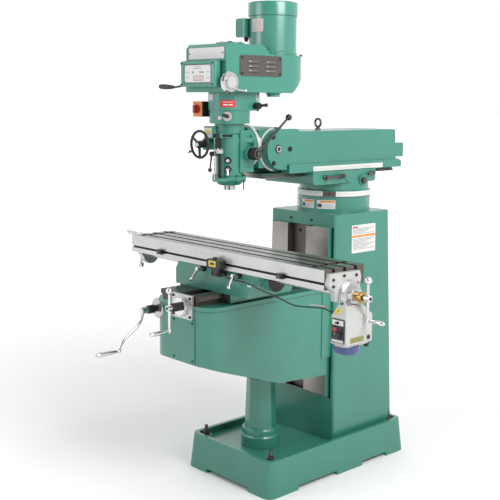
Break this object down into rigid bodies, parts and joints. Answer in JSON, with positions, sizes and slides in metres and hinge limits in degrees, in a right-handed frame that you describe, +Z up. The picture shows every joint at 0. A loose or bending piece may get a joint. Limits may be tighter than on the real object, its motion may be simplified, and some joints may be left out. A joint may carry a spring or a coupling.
{
  "type": "turret milling machine",
  "caption": "Floor-standing turret mill with knee, saddle, T-slot table, power feed, sliding ram and a tilting belt-drive head.",
  "frame": {"origin": "on the floor under the front face of the column, in the machine's centre plane", "axes": "+Z up, +X to the operator's right along the table, +Y from the operator to the back of the machine"},
  "size_m": [1.649, 1.7073, 2.192],
  "materials": {
    "painted_casting": "satin",
    "painted_sheet": "satin",
    "ground_steel": "satin",
    "dark_steel": "satin",
    "chrome": "polished",
    "black_oxide_steel": "satin",
    "black_plastic": "satin",
    "red_plastic": "satin",
    "orange_plastic": "satin",
    "white_aluminium": "satin",
    "blue_aluminium": "satin",
    "grey_sheet": "satin",
    "rubber": "matte",
    "bronze": "satin",
    "cast_table": "satin"
  },
  "bodies": {
    "stand": {"base": "painted_casting", "column": "painted_casting", "screw_pedestal": "painted_casting", "elevating_nut": "bronze"},
    "turret": {"turret": "painted_casting"},
    "ram_lock_lever_front": {"ram_lock_lever_front": "dark_steel"},
    "ram_lock_lever_rear": {"ram_lock_lever_rear": "dark_steel"},
    "ram_pinion_shaft": {"ram_pinion_shaft": "dark_steel"},
    "ram": {"ram": "painted_casting", "lifting_eye": "dark_steel"},
    "adapter": {"ram_adapter": "painted_casting"},
    "head": {"quill_housing": "painted_casting", "gear_housing": "painted_casting", "belt_housing": "painted_sheet", "louvre_plate": "grey_sheet", "motor": "painted_casting", "motor_cowl": "painted_sheet", "junction_box": "painted_sheet", "speed_panel": "painted_sheet", "switch_box": "orange_plastic", "quill_stop_screw": "black_oxide_steel", "drive_belt": "rubber"},
    "spindle_pulley": {"spindle_pulley": "dark_steel"},
    "motor_pulley": {"motor_pulley": "dark_steel"},
    "quill": {"quill": "ground_steel"},
    "spindle": {"spindle": "ground_steel", "spindle_nose": "ground_steel", "drawbar": "dark_steel"},
    "quill_feed_lever": {"quill_feed_lever": "black_oxide_steel"},
    "fine_feed_handwheel": {"fine_feed_handwheel": "black_oxide_steel"},
    "feed_trip_lever": {"feed_trip_lever": "black_oxide_steel"},
    "quill_lock_lever": {"quill_lock_lever": "chrome"},
    "quill_stop_nut": {"quill_stop_nut": "chrome"},
    "speed_dial": {"speed_dial": "chrome"},
    "brake_lever": {"brake_lever": "black_oxide_steel"},
    "feed_selector_knob": {"feed_selector_knob": "black_plastic"},
    "backgear_lever": {"backgear_lever": "black_oxide_steel"},
    "switch_knob": {"switch_knob": "red_plastic"},
    "knee": {"knee": "painted_casting", "knee_cover": "painted_sheet", "cross_feed_flange": "ground_steel"},
    "elevating_screw": {"elevating_screw": "ground_steel"},
    "knee_crank": {"knee_crank": "chrome"},
    "cross_feed_screw": {"cross_feed_screw": "dark_steel", "cross_feed_crank": "chrome"},
    "saddle": {"saddle": "painted_casting", "limit_switch": "black_plastic", "limit_switch_cable": "rubber"},
    "table_lock_left": {"table_lock_left": "chrome"},
    "table_lock_right": {"table_lock_right": "chrome"},
    "table": {"table": "cast_table", "table_end_bracket": "cast_table", "power_feed_housing": "white_aluminium", "power_feed_motor": "blue_aluminium"},
    "stop_dog_left": {"stop_dog_left": "black_oxide_steel"},
    "stop_dog_right": {"stop_dog_right": "black_oxide_steel"},
    "lead_screw": {"lead_screw": "ground_steel", "table_crank_left": "chrome", "table_crank_right": "chrome"},
    "feed_knob": {"feed_knob": "black_plastic"}
  },
  "joints": [
    {"name": "turret_swivel", "type": "hinge", "parent": "stand", "child": "turret", "pos_m": [0, 0.22, 1.305], "axis": [0, 0, 1], "continuous": true},
    {"name": "ram_lock_front_turn", "type": "hinge", "parent": "turret", "child": "ram_lock_lever_front", "pos_m": [0.162, -0.022, 1.409], "axis": [1, 0, 0], "range_deg": [-45, 45]},
    {"name": "ram_lock_rear_turn", "type": "hinge", "parent": "turret", "child": "ram_lock_lever_rear", "pos_m": [0.162, 0.31, 1.416], "axis": [1, 0, 0], "range_deg": [-45, 45]},
    {"name": "ram_pinion_turn", "type": "hinge", "parent": "turret", "child": "ram_pinion_shaft", "pos_m": [0.162, 0.237, 1.383], "axis": [1, 0, 0], "range_deg": [-910, 580]},
    {"name": "ram_slide", "type": "slide", "parent": "turret", "child": "ram", "axis": [0, 1, 0], "range_m": [-0.12, 0.19]},
    {"name": "adapter_nod", "type": "hinge", "parent": "ram", "child": "adapter", "pos_m": [0, -0.27, 1.543], "axis": [1, 0, 0], "range_deg": [-36, 12]},
    {"name": "head_tilt", "type": "hinge", "parent": "adapter", "child": "head", "pos_m": [0, -0.385, 1.555], "axis": [0, 1, 0], "range_deg": [-90, 60]},
    {"name": "quill_slide", "type": "slide", "parent": "head", "child": "quill", "axis": [0, 0, -1], "range_m": [0, 0.127], "stiffness_N_per_m": 150, "springref_m": -1.6},
    {"name": "quill_feed_turn", "type": "hinge", "parent": "head", "child": "quill_feed_lever", "pos_m": [0, -0.421, 1.529], "axis": [1, 0, 0], "range_deg": [0, 450]},
    {"name": "spindle_spin", "type": "hinge", "parent": "quill", "child": "spindle", "pos_m": [0, -0.468, 1.367], "axis": [0, 0, 1], "continuous": true},
    {"name": "spindle_pulley_spin", "type": "hinge", "parent": "head", "child": "spindle_pulley", "pos_m": [0, -0.468, 1.875], "axis": [0, 0, 1], "continuous": true},
    {"name": "motor_spin", "type": "hinge", "parent": "head", "child": "motor_pulley", "pos_m": [0, -0.211, 1.875], "axis": [0, 0, 1], "continuous": true},
    {"name": "fine_feed_spin", "type": "hinge", "parent": "head", "child": "fine_feed_handwheel", "pos_m": [-0.052, -0.595, 1.568], "axis": [0, 1, 0], "continuous": true},
    {"name": "feed_trip_turn", "type": "hinge", "parent": "head", "child": "feed_trip_lever", "pos_m": [0.01, -0.58, 1.529], "axis": [0, 1, 0], "range_deg": [-25, 25]},
    {"name": "quill_lock_turn", "type": "hinge", "parent": "head", "child": "quill_lock_lever", "pos_m": [0.0439, -0.5118, 1.462], "axis": [0.6801, -0.7331, 0], "range_deg": [-40, 40]},
    {"name": "quill_stop_nut_slide", "type": "slide", "parent": "head", "child": "quill_stop_nut", "axis": [0, 0, 1], "range_m": [-0.08, 0.045]},
    {"name": "speed_dial_turn", "type": "hinge", "parent": "head", "child": "speed_dial", "pos_m": [0.13, -0.589, 1.833], "axis": [1, 0, 0], "range_deg": [-60, 60]},
    {"name": "brake_turn", "type": "hinge", "parent": "head", "child": "brake_lever", "pos_m": [-0.136, -0.6, 1.825], "axis": [0, 1, 0], "range_deg": [-30, 30]},
    {"name": "feed_selector_turn", "type": "hinge", "parent": "head", "child": "feed_selector_knob", "pos_m": [0.0613, -0.5345, 1.69], "axis": [0.6778, -0.7353, 0], "range_deg": [-60, 60]},
    {"name": "backgear_turn", "type": "hinge", "parent": "head", "child": "backgear_lever", "pos_m": [0.094, -0.405, 1.735], "axis": [1, 0, 0], "range_deg": [-60, 60]},
    {"name": "switch_turn", "type": "hinge", "parent": "head", "child": "switch_knob", "pos_m": [-0.121, -0.552, 1.7195], "axis": [0, 1, 0], "range_deg": [0, 90]},
    {"name": "knee_slide", "type": "slide", "parent": "stand", "child": "knee", "axis": [0, 0, -1], "range_m": [-0.2108, 0.193]},
    {"name": "elevating_screw_turn", "type": "hinge", "parent": "knee", "child": "elevating_screw", "pos_m": [0, -0.264, 0.84], "axis": [0, 0, 1], "range_deg": [-13680, 14940]},
    {"name": "knee_crank_turn", "type": "hinge", "parent": "knee", "child": "knee_crank", "pos_m": [-0.165, -0.727, 0.842], "axis": [0, -1, 0], "range_deg": [-29880, 27360]},
    {"name": "cross_feed_turn", "type": "hinge", "parent": "knee", "child": "cross_feed_screw", "pos_m": [0.033, -0.78, 0.887], "axis": [0, 1, 0], "range_deg": [-7200, 14040]},
    {"name": "saddle_slide", "type": "slide", "parent": "knee", "child": "saddle", "axis": [0, 1, 0], "range_m": [-0.1015, 0.198]},
    {"name": "table_lock_left_turn", "type": "hinge", "parent": "saddle", "child": "table_lock_left", "pos_m": [0.006, -0.65, 1.032], "axis": [0, 1, 0], "range_deg": [-30, 60]},
    {"name": "table_lock_right_turn", "type": "hinge", "parent": "saddle", "child": "table_lock_right", "pos_m": [0.237, -0.65, 1.032], "axis": [0, 1, 0], "range_deg": [-30, 60]},
    {"name": "table_slide", "type": "slide", "parent": "saddle", "child": "table", "axis": [1, 0, 0], "range_m": [-0.3095, 0.3045], "deforming": ["limit_switch_cable"]},
    {"name": "stop_dog_left_slide", "type": "slide", "parent": "table", "child": "stop_dog_left", "axis": [1, 0, 0], "range_m": [-0.19, 0.03]},
    {"name": "stop_dog_right_slide", "type": "slide", "parent": "table", "child": "stop_dog_right", "axis": [1, 0, 0], "range_m": [0, 0.19]},
    {"name": "lead_screw_turn", "type": "hinge", "parent": "table", "child": "lead_screw", "pos_m": [0, -0.5255, 1.02], "axis": [1, 0, 0], "range_deg": [-21960, 21600]},
    {"name": "feed_knob_turn", "type": "hinge", "parent": "table", "child": "feed_knob", "pos_m": [0.806, -0.63, 0.885], "axis": [0, 1, 0], "range_deg": [-135, 135]}
  ],
  "couplings": [
    {"joint": "ram_pinion_turn", "follows": "ram_slide", "rad_per_m": -83.333},
    {"joint": "quill_feed_turn", "follows": "quill_slide", "rad_per_m": 61.728},
    {"joint": "spindle_spin", "follows": "motor_spin", "ratio": 0.6333},
    {"joint": "spindle_pulley_spin", "follows": "motor_spin", "ratio": 0.6333},
    {"joint": "knee_crank_turn", "follows": "knee_slide", "rad_per_m": 2473.7},
    {"joint": "elevating_screw_turn", "follows": "knee_slide", "rad_per_m": -1236.8},
    {"joint": "cross_feed_turn", "follows": "saddle_slide", "rad_per_m": 1236.8},
    {"joint": "lead_screw_turn", "follows": "table_slide", "rad_per_m": 1236.8}
  ]
}
